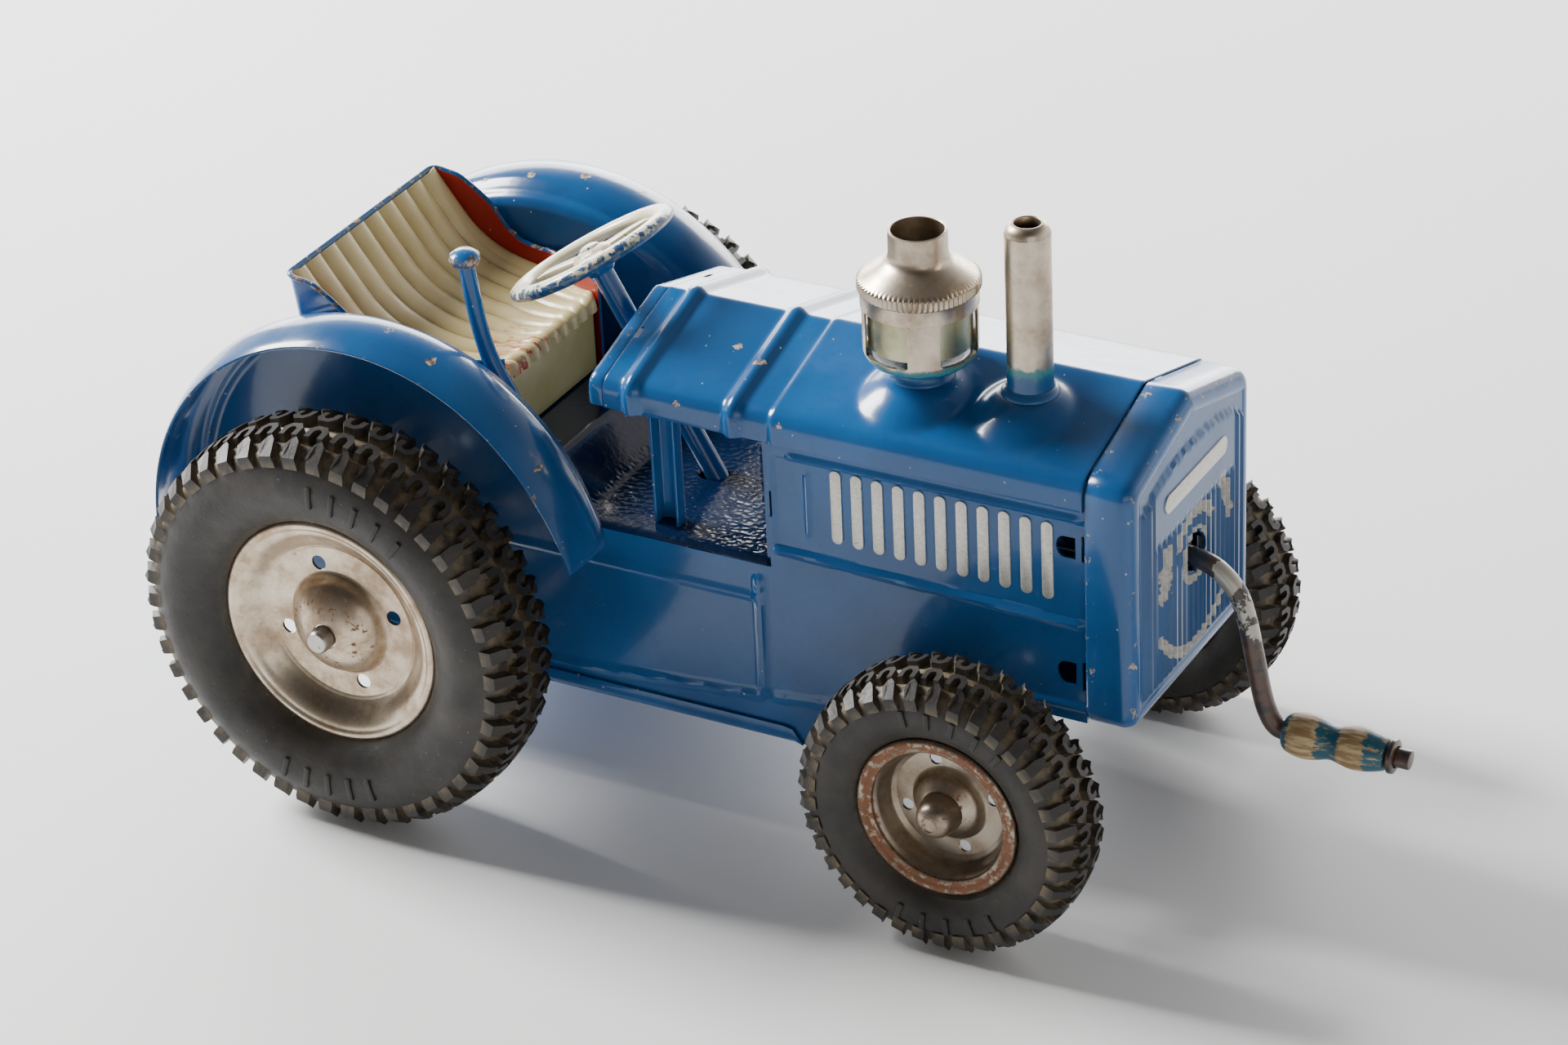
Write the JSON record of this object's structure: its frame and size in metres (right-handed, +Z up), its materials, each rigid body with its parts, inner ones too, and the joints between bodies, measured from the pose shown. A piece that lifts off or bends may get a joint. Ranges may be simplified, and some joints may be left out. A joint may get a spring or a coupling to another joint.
{
  "type": "tin clockwork toy tractor",
  "caption": "Wind-up tin farm tractor with a gabled hood, mudguards, rubber tyres on pressed rims, steered front axle and a front winding crank.",
  "frame": {"origin": "centre of the bounding box at ground level", "axes": "+X forward, +Y to the driver's left, +Z up"},
  "size_m": [0.197, 0.102, 0.1042],
  "materials": {
    "blue_enamel": "glossy baked enamel, dusty, chipped at the edges",
    "dark_enamel": "glossy crinkled enamel",
    "cream_enamel": "satin enamel, worn",
    "nickel": "worn nickel plate with brown patina",
    "steel": "plain steel",
    "brass": "stamped brass",
    "rubber": "dusty moulded rubber",
    "grip_wood": "turned wood with worn blue paint"
  },
  "bodies": {
    "body": {"hood_cover": "blue_enamel", "dash_panel": "blue_enamel", "radiator_shell": "blue_enamel", "side_panel_left": "blue_enamel", "side_panel_right": "blue_enamel", "floor_plate": "dark_enamel", "firewall_panel": "blue_enamel", "base_plate": "blue_enamel", "rear_panel": "blue_enamel", "dash_post_left": "blue_enamel", "dash_post_right": "blue_enamel", "seat_tub": "blue_enamel", "seat_cushion": "cream_enamel", "seat_front": "cream_enamel", "fender_left": "blue_enamel", "fender_right": "blue_enamel", "exhaust_pipe": "nickel", "filter_bowl": "nickel", "filter_sleeve": "steel", "filter_cap": "nickel", "king_pin": "steel", "front_bracket": "blue_enamel", "mainspring": "steel", "motor_plate_left": "steel", "motor_plate_right": "steel", "plate_pillar_1": "steel", "plate_pillar_2": "steel", "plate_pillar_3": "steel"},
    "rear_axle_set": {"rear_axle": "steel", "rear_tyre_left": "rubber", "rear_tyre_right": "rubber", "rear_rim_left": "nickel", "rear_rim_right": "nickel", "axle_pinion": "brass"},
    "front_axle_set": {"front_axle_beam": "steel", "front_axle": "steel", "hub_cap_left": "nickel", "hub_cap_right": "nickel"},
    "front_wheel_left": {"front_tyre_left": "rubber", "front_rim_left": "nickel"},
    "front_wheel_right": {"front_tyre_right": "rubber", "front_rim_right": "nickel"},
    "steering_set": {"steering_wheel": "cream_enamel", "steering_column": "blue_enamel", "steering_arm": "steel"},
    "drag_link": {"drag_link": "steel"},
    "crank_set": {"crank_rod": "steel", "grip_washer": "steel", "crank_gear": "brass"},
    "crank_grip": {"crank_grip": "grip_wood"},
    "winding_shaft": {"winding_shaft": "brass"},
    "spring_arbor_set": {"spring_arbor": "steel", "crown_wheel": "brass", "ratchet_wheel": "steel"},
    "great_wheel": {"great_wheel": "brass"},
    "ratchet_click": {"ratchet_click": "steel"},
    "intermediate_wheel": {"intermediate_wheel": "brass"},
    "escape_wheel": {"escape_wheel": "brass"},
    "escape_pallet": {"escape_pallet": "steel"},
    "start_stop_lever": {"start_stop_lever": "blue_enamel"}
  },
  "joints": [
    {"name": "rear_axle_turn", "type": "hinge", "parent": "body", "child": "rear_axle_set", "pos_m": [-0.0578, 0, 0.0335], "axis": [0, 1, 0], "continuous": true},
    {"name": "steering_turn", "type": "hinge", "parent": "body", "child": "steering_set", "pos_m": [-0.0359, 0, 0.0804], "axis": [-0.5026, 0, 0.8645], "range_deg": [-30, 30]},
    {"name": "front_axle_swivel", "type": "hinge", "parent": "body", "child": "front_axle_set", "pos_m": [0.0415, 0, 0.027], "axis": [0, 0, 1], "range_deg": [-13.6, 13.6]},
    {"name": "drag_link_pivot", "type": "hinge", "parent": "front_axle_set", "child": "drag_link", "pos_m": [0.0415, -0.0165, 0.0286], "axis": [0, 0, 1], "range_deg": [-13.6, 13.6]},
    {"name": "front_wheel_left_spin", "type": "hinge", "parent": "front_axle_set", "child": "front_wheel_left", "pos_m": [0.0415, 0.0363, 0.023], "axis": [0, 1, 0], "continuous": true},
    {"name": "front_wheel_right_spin", "type": "hinge", "parent": "front_axle_set", "child": "front_wheel_right", "pos_m": [0.0415, -0.0363, 0.023], "axis": [0, 1, 0], "continuous": true},
    {"name": "crank_turn", "type": "hinge", "parent": "body", "child": "crank_set", "pos_m": [0.0632, 0, 0.0505], "axis": [1, 0, 0], "continuous": true},
    {"name": "crank_grip_spin", "type": "hinge", "parent": "crank_set", "child": "crank_grip", "pos_m": [0.0862, 0, 0.0242], "axis": [1, 0, 0], "continuous": true},
    {"name": "winding_shaft_turn", "type": "hinge", "parent": "body", "child": "winding_shaft", "pos_m": [0.0022, 0, 0.0325], "axis": [1, 0, 0], "continuous": true},
    {"name": "spring_arbor_turn", "type": "hinge", "parent": "body", "child": "spring_arbor_set", "pos_m": [-0.0253, 0, 0.0325], "axis": [0, 1, 0], "continuous": true},
    {"name": "great_wheel_turn", "type": "hinge", "parent": "body", "child": "great_wheel", "pos_m": [-0.0253, 0, 0.0325], "axis": [0, 1, 0], "continuous": true},
    {"name": "ratchet_click_rock", "type": "hinge", "parent": "great_wheel", "child": "ratchet_click", "pos_m": [-0.0163, 0.007, 0.0337], "axis": [0, 1, 0], "range_deg": [-18, 0], "stiffness_Nm_per_rad": 0.00002},
    {"name": "intermediate_wheel_turn", "type": "hinge", "parent": "body", "child": "intermediate_wheel", "pos_m": [-0.04011, 0, 0.03015], "axis": [0, 1, 0], "continuous": true},
    {"name": "escape_wheel_turn", "type": "hinge", "parent": "body", "child": "escape_wheel", "pos_m": [-0.0494, 0, 0.04318], "axis": [0, 1, 0], "continuous": true},
    {"name": "escape_pallet_rock", "type": "hinge", "parent": "body", "child": "escape_pallet", "pos_m": [-0.0566, 0, 0.04578], "axis": [0, 1, 0], "range_deg": [-5, 5]},
    {"name": "start_stop_swing", "type": "hinge", "parent": "body", "child": "start_stop_lever", "pos_m": [-0.0353, -0.018, 0.0437], "axis": [0, 1, 0], "range_deg": [0, 12]}
  ],
  "couplings": [
    {"joint": "intermediate_wheel_turn", "follows": "rear_axle_turn", "ratio": -0.5},
    {"joint": "great_wheel_turn", "follows": "rear_axle_turn", "ratio": 0.18182},
    {"joint": "escape_wheel_turn", "follows": "rear_axle_turn", "ratio": 1.5},
    {"joint": "winding_shaft_turn", "follows": "crank_turn", "ratio": -1},
    {"joint": "spring_arbor_turn", "follows": "crank_turn", "ratio": 0.4},
    {"joint": "front_axle_swivel", "follows": "steering_turn", "ratio": 0.45},
    {"joint": "drag_link_pivot", "follows": "steering_turn", "ratio": -0.45}
  ]
}
